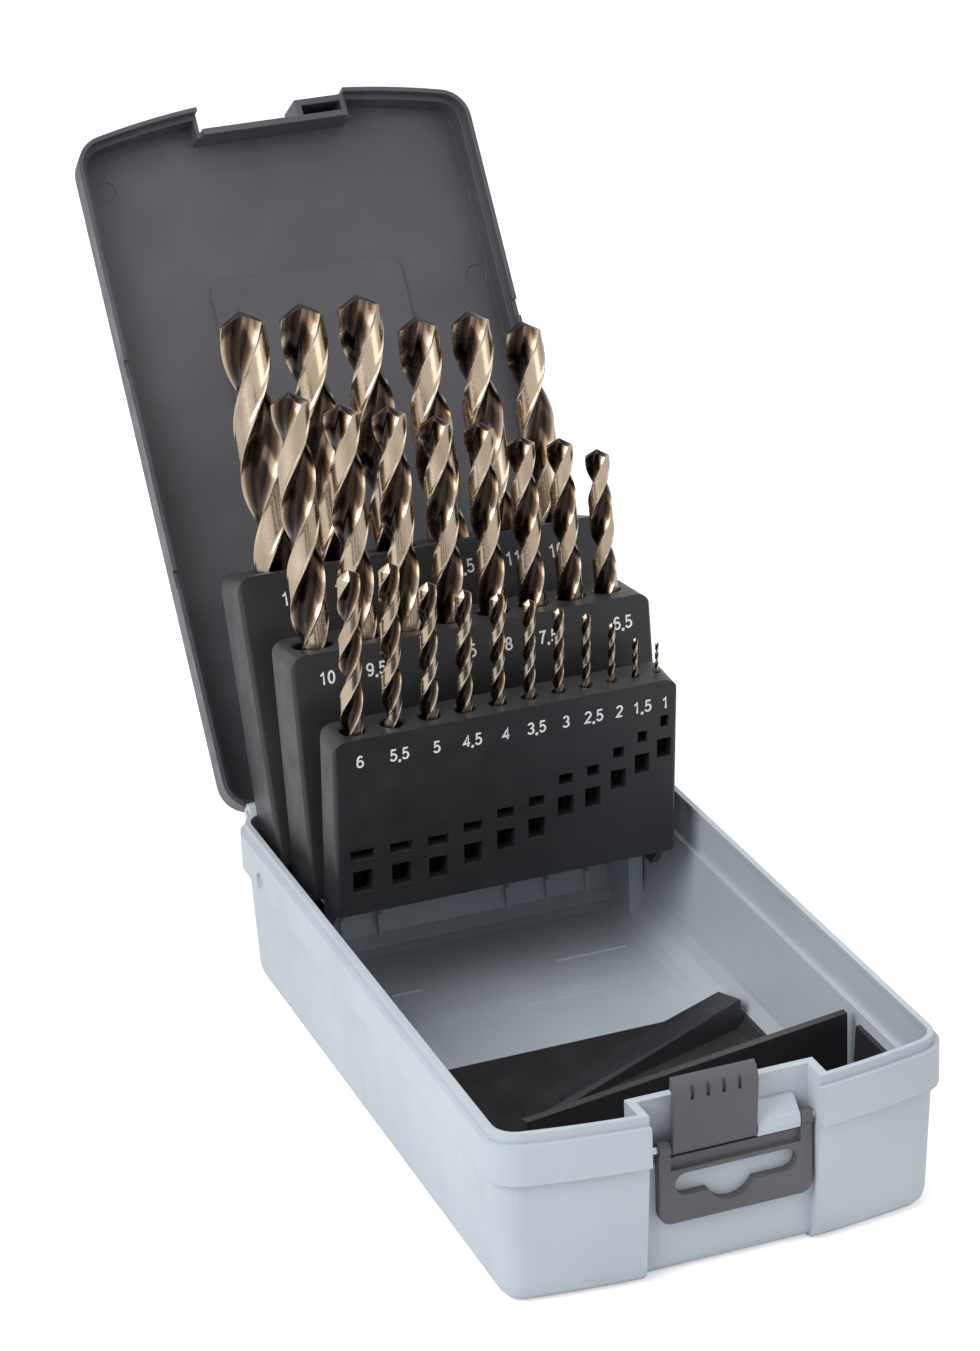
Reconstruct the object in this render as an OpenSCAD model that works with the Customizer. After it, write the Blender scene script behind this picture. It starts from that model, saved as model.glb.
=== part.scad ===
// Drill bit case for 25 twist drills, 1 to 13 mm by halves, standing open.
// Tray, hinged lid, three drill holders that fan out on one axis, a tip stop,
// a front latch, a fold-out hanger and the drills. Millimetres, +Z up, front at -Y.
// Origin: centre of the tray's bottom face.

/* [Case] */
// Outer width across the rim band
case_w = 117; // [112:0.5:130]
// Outer length from the front corners to the back
case_l = 193; // [190:0.5:215]
// Height of the tray up to the shoulder that the lid rests on
tray_h = 45; // [44:0.5:52]
// Height of the closed lid above the shoulder
lid_h = 12; // [11:0.5:20]
// Radius of the four upright corners
corner_r = 9; // [6:0.5:12]
// How far the rim band bulges beyond the front corners
front_bow = 7.5; // [5:0.5:11]
// How far the front bulges at the floor
bottom_bow = 5.5; // [3:0.5:7]
// Thickness of the tray's lower walls
wall = 2.3; // [1.8:0.1:2.8]
// Thickness of the floor
floor_t = 2.5; // [2:0.1:3.2]
// Thickness of the lid's top and walls
lid_t = 2; // [1.6:0.1:2.4]
// How much each lower wall leans in from rim band to floor
draft = 1.2; // [0.4:0.1:1.6]
// Radius of the edge round the bottom
bottom_r = 5; // [3:0.5:6]

/* [Rim] */
// Height of the thicker band under the shoulder
band_h = 10.5; // [8:0.5:12]
// How far the band stands out from the lower wall
band_out = 1.8; // [1:0.1:2.4]
// Width of the shoulder outside the tongue
shoulder_w = 1.5; // [1.2:0.1:1.8]
// Thickness of the tongue that enters the lid
tongue_t = 1.5; // [1.2:0.1:1.8]
// Height of the tongue above the shoulder
tongue_h = 2.5; // [1.5:0.1:3.5]

/* [Lid hinge] */
// Angle the lid is open
lid_open = 124; // [100:1:128]
// Diameter of the hinge pin
hinge_pin_d = 2.5; // [2:0.1:3]
// Diameter of the hinge knuckles
knuckle_d = 6; // [5.6:0.1:6.4]
// Length of one hinge knuckle
knuckle_l = 18; // [12:1:20]
// Side clearance between knuckles
knuckle_gap = 0.4; // [0.3:0.05:0.8]

/* [Holder axis] */
// Distance of the holder axis in front of the case's back
axis_in = 23; // [22:0.5:26]
// Depth of the holder axis below the shoulder
axis_down = 8.3; // [7:0.1:9]
// Diameter of the pivot pins
axis_d = 3; // [2.4:0.1:3.4]
// Radius of the eyes round the pivot pins
eye_r = 3.2; // [2.9:0.1:3.5]
// Radial clearance of a turning bore
run_gap = 0.05; // [0.02:0.01:0.09]
// Thickness of a holder's side plate
plate_t = 2; // [1.6:0.1:2.2]
// Side gap between neighbouring plates
plate_gap = 0.5; // [0.3:0.05:0.7]

/* [Holders] */
// Length of the front holder
front_w = 95.8; // [94:0.2:98]
// Thickness of the front holder
front_t = 11.1; // [10.6:0.1:11.6]
// Height of the front holder
front_h = 52; // [48:0.5:54]
// Height of the front holder's foot above the axis
front_up = 5.1; // [4.4:0.1:6]
// Lean of the open front holder, back is positive
front_lean = -5; // [-9:0.5:0]
// Thickness of the middle holder
middle_t = 17.3; // [16.4:0.1:17.6]
// Height of the middle holder
middle_h = 67; // [60:0.5:70]
// Height of the middle holder's foot above the axis
middle_up = 0.4; // [0.2:0.1:1.4]
// Lean of the open middle holder
middle_lean = 6; // [3:0.5:8]
// Thickness of the rear holder
rear_t = 19; // [18:0.1:20]
// Height of the rear holder
rear_h = 84; // [76:0.5:88]
// Height of the rear holder's foot below the axis
rear_down = 2.3; // [1.8:0.1:2.8]
// Lean of the open rear holder
rear_lean = 17.5; // [14:0.5:19]
// Gap between closed holders, and under the lowest one
row_gap = 0.5; // [0.4:0.05:0.7]
// Radius of the holders' top edges
holder_r = 4; // [2:0.5:5]
// Radial clearance of a drill in its bore
bore_gap = 0.1; // [0.06:0.01:0.2]

/* [Tip stop] */
// Thickness of the tip stop's plate
stop_t = 1.2; // [0.8:0.1:1.6]
// Length of the tip stop from its back edge to the front wall
stop_l = 103; // [100:0.5:105]
// Thickness of the tall wall that crosses the tray
stop_wall_t = 2.2; // [1.6:0.1:3.5]
// Height of the low wedge at its right end, above the floor
wedge_h = 11; // [8:0.5:13]

/* [Latch and hanger] */
// Width of the recess in the front
recess_w = 43.6; // [42:0.2:46]
// Depth of the recess behind the line of the front corners
recess_in = 1; // [0.5:0.1:1.6]
// Width of the latch
latch_w = 21.4; // [18:0.2:23]
// Left edge of the latch
latch_x = -14.6; // [-15.5:0.1:-13.5]
// Height of the latch from its axis to its top
latch_h = 19; // [17:0.5:20]
// Thickness of the latch plate
latch_t = 2; // [1.6:0.1:2.4]
// Diameter of the pin that the latch and the hanger turn on
latch_pin_d = 2; // [1.6:0.1:2.2]
// Width of the hanger
hanger_w = 39.4; // [38:0.2:40]
// Drop of the hanger from its axis to its lower edge
hanger_h = 20; // [18:0.5:23]
// Thickness of the hanger
hanger_t = 2.4; // [2:0.1:2.8]
// Width of the hanger's arms
arm_w = 3; // [2.4:0.1:3.6]

/* [Hidden] */
$fn = 48;
eps = 0.01;

// Outline shared by tray, lid and tip stop: a rounded rectangle with a bowed front
half_w = case_w / 2;
half_l = case_l / 2;

// Walls
band_in = 2.8;
wall_top_in = band_out + wall;
rim_z = tray_h - band_h;
tongue_z = tray_h + tongue_h;
floor_r = 8;
lid_gap = 0.05;
tongue_gap = 0.25;
lid_z = tray_h + lid_gap;
lid_top = tray_h + lid_h;
lid_edge_r = 3;
panel_in = 0.9;

// Lid hinge
hinge_y = half_l + 1.1;
hinge_z = tray_h + 0.7;
hinge_x = [-35, 35];
knuckle_r = knuckle_d / 2;
relief_r = knuckle_r + 0.4;
hinge_bore_d = hinge_pin_d + 2 * run_gap;
// Half the length of a hinge group: half the lid's knuckle, a gap and one tray knuckle
group_l = knuckle_l + knuckle_gap;

// Holder axis and closed stack, as distances in front of the axis when upright
axis_y = half_l - axis_in;
axis_z = tray_h - axis_down;
axis_bore_d = axis_d + 2 * run_gap;
foot_gap = 1.5;
front_w0 = axis_z - floor_t - foot_gap - front_t;
middle_w0 = front_w0 - row_gap - middle_t;
rear_w0 = middle_w0 - row_gap - rear_t;

// Nested side plates: front holder inside, then middle, then rear
front_x = front_w / 2;
middle_x = front_x + plate_gap + plate_t;
rear_x = middle_x + plate_gap + plate_t;
notch_x = front_x - plate_t - plate_gap;
boss_x = rear_x + 0.4;
arm_drop = 5;
arm_top = 0.5;
plate_clear = 0.6;

// Drills by diameter: overall length and flute length in the standard jobber series
SIZES = [[1, 34, 12], [1.5, 40, 18], [2, 49, 24], [2.5, 57, 30], [3, 61, 33], [3.5, 70, 39], [4, 75, 43],
  [4.5, 80, 47], [5, 86, 52], [5.5, 93, 57], [6, 93, 57], [6.5, 101, 63], [7, 109, 69], [7.5, 109, 69],
  [8, 117, 75], [8.5, 117, 75], [9, 125, 81], [9.5, 125, 81], [10, 133, 87], [10.5, 133, 87],
  [11, 142, 94], [11.5, 142, 94], [12, 151, 101], [12.5, 151, 101], [13, 151, 101]];
function size_of(d) = SIZES[round(2 * d) - 2];

// Rows from left to right, with the height of each shank's end above the holder's foot
front_d = [6, 5.5, 5, 4.5, 4, 3.5, 3, 2.5, 2, 1.5, 1];
front_seat = [4.5, 4.5, 4.2, 6.2, 8.4, 10, 14.9, 15.8, 19.7, 23, 26.5];
middle_d = [10, 9.5, 9, 8.5, 8, 7.5, 7, 6.5];
middle_seat = [1.5, 4.2, 1.6, 5.1, 1.6, 3.8, 1.5, 4.8];
rear_d = [13, 12.5, 12, 11.5, 11, 10.5];
rear_seat = [2.4, 2, 2, 2.7, 2, 6];
front_gap = 4.98;
middle_gap = 3.6;
rear_gap = 3.9;
// Sideways place of each row's middle
front_shift = 0.5;
middle_shift = -0.8;
rear_shift = 0.4;
// Depth of the tight seat at the bottom of each bore
seat_l = 4;

// Sum of a row from its first drill's centre to drill i, at the given space between drills
function run(d, gap, i) = i == 0 ? 0 : run(d, gap, i - 1) + (d[i - 1] + d[i]) / 2 + gap;
function row_x(d, gap, i) = run(d, gap, i) - (run(d, gap, len(d) - 1) + (d[len(d) - 1] - d[0]) / 2) / 2;

// Front: recess, latch and hanger
recess_x = 0.6;
recess_y = -half_l + recess_in + 1.2;
cheek_t = 2.3;
notch_wall_t = 1.8;
notch_y = recess_y - 0.3 - notch_wall_t;
pin_y = notch_y - 1;
pin_z = tray_h - 9.5;
panel_y = pin_y + hanger_t / 2 + 0.2;
panel_top = pin_z - 4.5;
catch_z = tray_h + 4.2;
catch_h = 1.5;
catch_out = 0.8;
latch_y = notch_y - catch_out - 0.3;
latch_rest = 5;
latch_bore_d = latch_pin_d + 2 * run_gap;
barrel_r = latch_pin_d / 2 + 0.9;
hanger_x = latch_x - 0.3 - arm_w;
lug_x = latch_x + latch_w + 0.4;
lug_w = hanger_x + hanger_w - arm_w - 0.3 - lug_x;

// Tip stop
stop_clear = 0.25;
stop_top = floor_t + stop_t;
stop_back = -half_l + stop_l + 6.5;
stop_flange_z = 32.5;
stop_wall_z = 35.7;

// Colours
tray_color = [0.79, 0.82, 0.86];
dark_color = [0.33, 0.33, 0.35];
black_color = [0.16, 0.16, 0.17];
steel_color = [0.70, 0.68, 0.62];

module outline(inset, r = corner_r, bow = front_bow) {
  rr = max(r - inset, 1.5);
  bow_r = (half_w * half_w + bow * bow) / (2 * bow);
  bow_y = bow_r - half_l - bow;
  big = bow_r - inset;
  cx = half_w - inset - rr;
  cy = bow_y - sqrt((big - rr) * (big - rr) - cx * cx);
  back = half_l - inset - rr;
  mid = bow_y / (bow_y - cy);
  intersection() {
    translate([0, bow_y]) circle(r = big, $fn = 300);
    polygon([[-cx * mid, 0], [cx * mid, 0], [cx * 3, bow_y - (bow_y - cy) * 3], [-cx * 3, bow_y - (bow_y - cy) * 3]]);
  }
  for (s = [-1, 1]) {
    translate([s * cx, cy]) circle(r = rr);
    translate([s * cx, back]) circle(r = rr);
  }
  translate([-cx - rr, cy]) square([2 * (cx + rr), back - cy]);
  translate([-cx, cy]) square([2 * cx, back + rr - cy]);
}

module slab(inset, z, h = 0.02, bow = front_bow) {
  translate([0, 0, z]) linear_extrude(h) outline(inset, bow = bow, $fn = 32);
}

// Solid bounded by the lower walls: drafted, with the bottom edge rounded
module lower_solid() {
  bottom_in = band_out + draft;
  hull() {
    slab(band_out, rim_z + 0.5);
    for (turn = [0, 30, 60, 90])
      slab(bottom_in + bottom_r * (1 - cos(turn)), bottom_r * (1 - sin(turn)), bow = bottom_bow);
  }
}

// Hollow between the lower walls, shrunk by c and reaching up to z
module cavity(c, z) {
  bottom_in = wall_top_in + draft + c;
  hull() {
    slab(wall_top_in + c, z - 0.02);
    for (turn = [0, 35, 65, 90])
      slab(bottom_in + floor_r * (1 - cos(turn)), floor_t + floor_r * (1 - sin(turn)), bow = bottom_bow);
  }
}

// Walls round the recess, which is shallower below the latch pin
module recess_walls() {
  front = -half_l - front_bow - 1;
  translate([recess_x - recess_w / 2 - cheek_t, front, -1])
    cube([recess_w + 2 * cheek_t, panel_y + wall - front, tray_h + 10]);
  translate([recess_x - recess_w / 2 - cheek_t, front, panel_top - wall])
    cube([recess_w + 2 * cheek_t, recess_y + wall - front, tray_h + 10]);
}

module recess_hollow() {
  x0 = recess_x - recess_w / 2;
  translate([x0, panel_y - 30, -1]) cube([recess_w, 30, tray_h + 10]);
  translate([x0, recess_y - 30, panel_top]) cube([recess_w, 30, tray_h + 10]);
  difference() {
    translate([x0, panel_y - eps, -1]) cube([recess_w, bottom_r + eps, bottom_r + 1]);
    translate([x0 - 1, panel_y + bottom_r, bottom_r]) rotate([0, 90, 0]) cylinder(r = bottom_r, h = recess_w + 2);
  }
}

// One hinge group's knuckles: the middle one belongs to the lid, the outer ones to the tray
module knuckles(r, tray_side, extra) {
  for (x = hinge_x) {
    if (tray_side)
      for (s = [-1, 1])
        translate([x + s * (knuckle_l * 3 / 4 + knuckle_gap) - knuckle_l / 4 - extra, hinge_y, hinge_z])
          rotate([0, 90, 0]) cylinder(r = r, h = knuckle_l / 2 + 2 * extra);
    if (!tray_side)
      translate([x - knuckle_l / 2 - extra, hinge_y, hinge_z])
        rotate([0, 90, 0]) cylinder(r = r, h = knuckle_l + 2 * extra);
  }
}

module hinge_bores(d) {
  for (x = hinge_x)
    translate([x - group_l - 1, hinge_y, hinge_z]) rotate([0, 90, 0]) cylinder(d = d, h = 2 * group_l + 2);
}

module tray() {
  gusset = hinge_y + 1.2;
  color(tray_color) {
    difference() {
      union() {
        difference() {
          union() {
            lower_solid();
            translate([0, 0, rim_z]) linear_extrude(band_h) outline(0);
            translate([0, 0, tray_h - 1]) linear_extrude(tongue_h + 1) outline(shoulder_w);
          }
          difference() {
            union() {
              cavity(0, rim_z + 2);
              translate([0, 0, rim_z + 1]) linear_extrude(band_h) outline(band_in);
              translate([0, 0, rim_z + 1]) linear_extrude(band_h + tongue_h) outline(shoulder_w + tongue_t);
            }
            recess_walls();
          }
          recess_hollow();
          knuckles(relief_r, false, knuckle_gap);
        }
        knuckles(knuckle_r, true, 0);
        // Webs that carry the hinge knuckles down the band
        for (x = hinge_x)
          for (s = [-1, 1])
            translate([x + s * (knuckle_l * 3 / 4 + knuckle_gap) - knuckle_l / 4, 0, 0]) rotate([90, 0, 90])
              linear_extrude(knuckle_l / 2)
                polygon([[half_l - 1, tray_h - 9], [half_l, tray_h - 9], [gusset, tray_h - 4], [gusset, hinge_z],
                  [half_l - 1, tray_h - 1]]);
        // Bosses round the holder pins
        for (s = [-1, 1])
          translate([s > 0 ? boss_x : -half_w + 1, axis_y, axis_z]) rotate([0, 90, 0])
            cylinder(r = eye_r + 0.8, h = half_w - 1 - boss_x);
        // Posts that the rear holder leans back on
        for (s = [-1, 1])
          translate([s > 0 ? front_x + 0.8 : -rear_x, axis_y + 1.3, floor_t - 1]) cube([4.2, axis_in - 6, 26]);
        // Ribs at the foot of the back wall
        for (x = [-31, -20, 18, 30, 42])
          translate([x - 0.6, half_l - wall_top_in - draft - 2, floor_t - 1]) cube([1.2, 3.4, 10.5]);
        // Low ribs on the floor
        translate([20, 59, floor_t - 1]) cube([21, 0.8, 1.5]);
        translate([-28, 59, floor_t - 1]) cube([8.5, 0.8, 1.5]);
        // Lug that holds the front pin between latch and hanger
        translate([lug_x, 0, 0]) rotate([90, 0, 90]) linear_extrude(lug_w)
          polygon([[recess_y + 1, pin_z - 3.2], [pin_y, pin_z - 2.2], [pin_y - 1.6, pin_z - 1.6], [pin_y - 2, pin_z],
            [pin_y - 1.6, pin_z + 2], [recess_y - 1, pin_z + 5.5], [recess_y + 1, pin_z + 5.5]]);
      }
      hinge_bores(hinge_pin_d);
      // Holder pin holes, with a wide mouth outside
      translate([-half_w - 1, axis_y, axis_z]) rotate([0, 90, 0]) cylinder(d = axis_d, h = 2 * half_w + 2);
      for (s = [-1, 1])
        translate([s > 0 ? half_w - 1 : -half_w - 1, axis_y, axis_z]) rotate([0, 90, 0]) cylinder(d = 6, h = 2);
      // Front pin hole through both cheeks and the lug
      translate([recess_x - recess_w / 2 - cheek_t + 0.4, pin_y, pin_z]) rotate([0, 90, 0])
        cylinder(d = latch_pin_d, h = recess_w + 2 * cheek_t - 0.8);
      // Shallow label panel in the floor
      translate([-25, -48, floor_t - 0.4]) cube([50, 88, 1]);
    }
    // Pegs on the tongue beside the holder axis
    for (s = [-1, 1])
      for (y = [axis_y - 8.5, axis_y + 1])
        translate([s * (half_w - shoulder_w - tongue_t - 1.2), y, tray_h - 0.5]) rotate([0, s * 90, 0])
          cylinder(r = 1, h = 2);
  }
}

// Region of the lid's front wall behind the notch, kept solid down to the rim
module notch_block(side) {
  x0 = recess_x - recess_w / 2 + side;
  translate([x0, -half_l - front_bow, lid_z - 2])
    cube([recess_w - 2 * side, half_l + front_bow + notch_y + notch_wall_t, lid_h + 2]);
}

// Label panel pressed into the lid, grown by edge
module label_panel(edge, z) {
  r = 4;
  hull()
    for (x = [-25 - edge + r, 28 + edge - r])
      for (y = [-52 - edge + r, 52 + edge - r]) translate([x, y, z]) cylinder(r = r, h = panel_in + 0.4);
}

// Lid in its closed position
module lid_closed() {
  x0 = recess_x - recess_w / 2;
  tab_x = latch_x + latch_w + 0.6;
  tab_y = notch_y - 4.6;
  difference() {
    union() {
      difference() {
        hull() {
          slab(0, lid_z);
          slab(0.5, lid_top - lid_edge_r);
          slab(0.5 + lid_edge_r * (1 - cos(45)), lid_top - lid_edge_r * (1 - sin(45)));
          slab(0.5 + lid_edge_r, lid_top - 0.02);
        }
        // Groove over the tongue
        difference() {
          translate([0, 0, lid_z - 1]) linear_extrude(tongue_h + 1.35) outline(shoulder_w - tongue_gap);
          notch_block(0.3);
        }
        difference() {
          translate([0, 0, lid_z]) linear_extrude(lid_h - lid_t - lid_gap) outline(lid_t + 0.7);
          label_panel(2, lid_top - lid_t - panel_in);
          notch_block(-1);
        }
        // Front notch, deeper where the latch passes
        translate([x0, notch_y - 30, lid_z - 3]) cube([tab_x - x0, 30, lid_h + 6]);
        translate([x0 + 1, tab_y - 30, lid_z - 3]) cube([recess_w - 1, 30, lid_h + 6]);
        // Hollow behind the thumb tab
        translate([tab_x + 1.8, tab_y + 1.8, lid_z - 3])
          cube([x0 + recess_w - tab_x - 3.4, notch_y - tab_y - 1.8, lid_h - lid_t + 2.8]);
        label_panel(0, lid_top - panel_in);
        knuckles(relief_r, true, knuckle_gap);
      }
      knuckles(knuckle_r, false, 0);
      // Catch that the latch snaps over
      translate([latch_x + 1.5, 0, 0]) rotate([90, 0, 90]) linear_extrude(latch_w - 3)
        polygon([[notch_y + 0.5, catch_z - 1], [notch_y, catch_z - 1], [notch_y - catch_out, catch_z],
          [notch_y - catch_out, catch_z + catch_h], [notch_y + 0.5, catch_z + catch_h]]);
    }
    hinge_bores(hinge_bore_d);
    // Small notches in the rim
    for (s = [-1, 1])
      for (y = [-31, 30])
        translate([s * half_w - 2, y - 2.5, lid_z - 1]) cube([4, 5, 2.2]);
    // Ejector marks
    for (p = [[-50, -85], [52, -45]])
      translate([p[0], p[1], lid_top - lid_t - 0.2]) cylinder(d = 6, h = 0.4);
  }
}

module lid() {
  color(dark_color)
    translate([0, hinge_y, hinge_z]) rotate([-lid_open, 0, 0]) translate([0, -hinge_y, -hinge_z]) lid_closed();
}

module hinge_pins() {
  color(steel_color)
    for (x = hinge_x)
      translate([x - group_l + 0.3, hinge_y, hinge_z]) rotate([0, 90, 0])
        cylinder(d = hinge_pin_d, h = 2 * group_l - 0.6);
}

module at_axis(lean) {
  translate([0, axis_y, axis_z]) rotate([-lean, 0, 0]) children();
}

// Rounded bar of a holder, upright: x across, w in front of the axis, v above it
module holder_bar(half, w0, t, v0, h) {
  edge = 1.2;
  intersection() {
    translate([0, -w0, v0]) rotate([90, 0, 0]) linear_extrude(t) {
      translate([-half, 0]) square([2 * half, h - holder_r]);
      translate([-half + holder_r, 0]) square([2 * (half - holder_r), h]);
      for (s = [-1, 1]) translate([s * (half - holder_r), h - holder_r]) circle(r = holder_r);
    }
    translate([0, 0, v0 - 1]) linear_extrude(h + 2) {
      translate([-half, -w0 - t + edge]) square([2 * half, t - 2 * edge]);
      translate([-half + edge, -w0 - t]) square([2 * (half - edge), t]);
      for (s = [-1, 1]) for (y = [-w0 - t + edge, -w0 - edge])
        translate([s * (half - edge), y]) circle(r = edge);
    }
  }
}

// Bores of one row: a tight seat at the bottom, then a slight clearance
module bores(d, seat, gap, shift, w, v0, h) {
  for (i = [0 : len(d) - 1])
    translate([row_x(d, gap, i) + shift, -w, v0 + seat[i]]) {
      cylinder(d = d[i], h = seat_l + 1);
      translate([0, 0, seat_l]) cylinder(r = d[i] / 2 + bore_gap, h = h);
      translate([0, 0, h - seat[i] - 0.6]) cylinder(r1 = d[i] / 2 + bore_gap, r2 = d[i] / 2 + 0.9, h = 0.8);
    }
}

// Side plate eye at both ends, with its outer face at x
module eyes(x, t, r) {
  for (s = [-1, 1])
    translate([s > 0 ? x - t : -x, 0, 0]) rotate([0, 90, 0]) cylinder(r = r, h = t);
}

module axis_bores() {
  translate([-half_w, 0, 0]) rotate([0, 90, 0]) cylinder(d = axis_bore_d, h = 2 * half_w);
}

module front_holder() {
  w = front_w0;
  color(black_color) at_axis(front_lean) difference() {
    union() {
      holder_bar(front_x, w, front_t, front_up, front_h);
      eyes(front_x, plate_t, eye_r);
      // Arms that run below the middle holder to the axis
      for (s = [-1, 1])
        translate([s > 0 ? front_x - plate_t : -front_x, 0, 0]) rotate([90, 0, 90]) linear_extrude(plate_t)
          polygon([[0, -arm_drop], [-w, -arm_drop], [-w - front_t + 4, front_up], [-w - front_t + 4, front_up + 4],
            [-w, front_up + 4], [-w, -arm_top], [0, -arm_top]]);
    }
    axis_bores();
    bores(front_d, front_seat, front_gap, front_shift, w + front_t / 2, front_up, front_h);
    // Windows in front of each shank
    for (i = [0 : len(front_d) - 1])
      translate([row_x(front_d, front_gap, i) + front_shift, -w - front_t, front_up + front_seat[i]]) {
        low = [3.7 + 0.3 * front_d[i], front_t / 2, 5.4 + 0.17 * front_d[i]];
        high = [1.4 + 0.86 * front_d[i], front_t / 2, 3.4 - 0.1 * front_d[i]];
        translate([-low[0] / 2, -eps, 5.4 - low[2] / 2]) cube(low);
        translate([-high[0] / 2, -eps, 13.4 - high[2] / 2]) cube(high);
      }
  }
}

module middle_holder() {
  w = middle_w0;
  color(black_color) at_axis(middle_lean) difference() {
    union() {
      holder_bar(middle_x, w, middle_t, middle_up, middle_h);
      eyes(middle_x, plate_t, eye_r);
      for (s = [-1, 1])
        translate([s > 0 ? middle_x - plate_t : -middle_x, 0, 0]) rotate([90, 0, 90]) linear_extrude(plate_t)
          polygon([[0, -eye_r], [-w - 4, middle_up], [-w - 4, eye_r + 4], [-w, eye_r + 4], [-w, eye_r], [0, eye_r]]);
    }
    axis_bores();
    bores(middle_d, middle_seat, middle_gap, middle_shift, w + middle_t / 2, middle_up, middle_h);
  }
}

module rear_holder() {
  w = rear_w0;
  clear_r = eye_r + plate_clear;
  corner_cut = 3.6;
  color(black_color) at_axis(rear_lean) difference() {
    union() {
      holder_bar(rear_x, w, rear_t, -rear_down, rear_h);
      eyes(rear_x, plate_t, eye_r);
    }
    axis_bores();
    // Notches round the eyes of the other two holders
    for (s = [-1, 1])
      translate([s > 0 ? notch_x : -rear_x + plate_t, 0, 0]) rotate([0, 90, 0])
        linear_extrude(rear_x - plate_t - notch_x) {
          circle(r = clear_r);
          translate([0, -w - rear_t - 1]) square([rear_down + 2, w + rear_t + 1 + clear_r]);
          translate([-clear_r, -w - rear_t - 1]) square([clear_r, w + rear_t + 1]);
        }
    bores(rear_d, rear_seat, rear_gap, rear_shift, w + rear_t / 2, -rear_down, rear_h);
    // Rear corners cut off to clear the round corners of the tray's tongue
    for (s = [-1, 1])
      translate([s * rear_x, -w, rear_h / 2]) rotate([0, 0, 45]) cube([corner_cut, corner_cut, 2 * rear_h], center = true);
  }
}

// Two short pins, one through each side wall
module pivot_pins() {
  color(steel_color)
    for (s = [-1, 1])
      translate([s > 0 ? notch_x + 0.2 : -half_w + 1.2, axis_y, axis_z]) rotate([0, 90, 0])
        cylinder(d = axis_d, h = half_w - 1.4 - notch_x);
}

module tip_stop() {
  crest = [[-20, -21, 4.2], [49.5, 3, wedge_h]];
  color(black_color) {
    difference() {
      cavity(stop_clear, stop_flange_z);
      difference() {
        cavity(stop_clear + stop_t, stop_flange_z + 1);
        translate([-half_w, -half_l - front_bow, 0]) cube([case_w, case_l, stop_top]);
      }
      // Open behind, on the left and above the low side flange
      translate([-half_w, stop_back, 0]) cube([case_w, case_l, tray_h]);
      translate([-half_w, -half_l - front_bow, stop_top]) cube([half_w + 8, case_l + front_bow, tray_h]);
      translate([0, -58, stop_top + 2.3]) cube([half_w, case_l, tray_h]);
      translate([0, -half_l - front_bow, stop_top + 2.3]) cube([half_w - 14, 20, tray_h]);
      // Clears the walls of the front recess
      translate([recess_x - recess_w / 2 - cheek_t - stop_clear, -half_l - front_bow, 0])
        cube([recess_w + 2 * (cheek_t + stop_clear), half_l + front_bow + recess_y + wall + stop_clear, tray_h]);
    }
    // Low wedge with a steep front
    intersection() {
      cavity(stop_clear, stop_flange_z);
      polyhedron(
        points = [crest[0] + [0, -1.5, 0.4 - crest[0][2] + floor_t], crest[1] + [0, -1.5, 0.4 - wedge_h + floor_t],
          crest[1] + [0, 14, 0.4 - wedge_h + floor_t], crest[0] + [0, 10, 0.4 - crest[0][2] + floor_t],
          crest[0], crest[1], crest[1] + [0, 14, stop_top + 3 - wedge_h], crest[0] + [0, 10, stop_top - crest[0][2]]],
        faces = [[0, 1, 2], [0, 2, 3], [4, 6, 5], [4, 7, 6], [0, 5, 1], [0, 4, 5], [1, 6, 2], [1, 5, 6],
          [2, 7, 3], [2, 6, 7], [3, 4, 0], [3, 7, 4]]);
    }
    // Tall wall across the tray
    intersection() {
      cavity(stop_clear, stop_wall_z + 1);
      translate([-40.5, -73, 0]) rotate([0, 0, atan2(16.5, 92)])
        translate([0, 0, floor_t + 0.4]) cube([100, stop_wall_t, stop_wall_z - floor_t - 0.4]);
      translate([-half_w, -half_l, 0]) cube([half_w + 51.4, case_l, tray_h]);
    }
  }
}

module at_latch_pin() {
  translate([0, pin_y, pin_z]) children();
}

module latch() {
  inner = latch_y - pin_y;
  hook = catch_z + catch_h + 0.3 - pin_z;
  tip = notch_y - 0.2 - pin_y;
  color(dark_color) at_latch_pin() rotate([latch_rest, 0, 0]) difference() {
    union() {
      translate([latch_x, 0, 0]) rotate([90, 0, 90]) linear_extrude(latch_w)
        polygon([[inner - latch_t, 0], [inner - latch_t, latch_h - 4], [inner - latch_t + 0.3, latch_h - 2.6],
          [inner - latch_t + 1.1, latch_h - 1.3], [inner - latch_t + 2.2, latch_h - 0.4],
          [tip, latch_h], [tip, hook], [inner, hook], [inner, 0]]);
      translate([latch_x, 0, 0]) rotate([0, 90, 0]) cylinder(r = barrel_r, h = latch_w);
    }
    translate([latch_x - 1, 0, 0]) rotate([0, 90, 0]) cylinder(d = latch_bore_d, h = latch_w + 2);
    // Grip slots in the front face
    for (i = [0 : 3])
      translate([latch_x + 4.2 + i * 4, inner - latch_t - 1, latch_h - 5.5]) cube([0.9, 1.8, 4]);
  }
}

module latch_pin() {
  color(steel_color) at_latch_pin()
    translate([recess_x - recess_w / 2 - cheek_t + 0.6, 0, 0]) rotate([0, 90, 0])
      cylinder(d = latch_pin_d, h = recess_w + 2 * cheek_t - 1.2);
}

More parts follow.
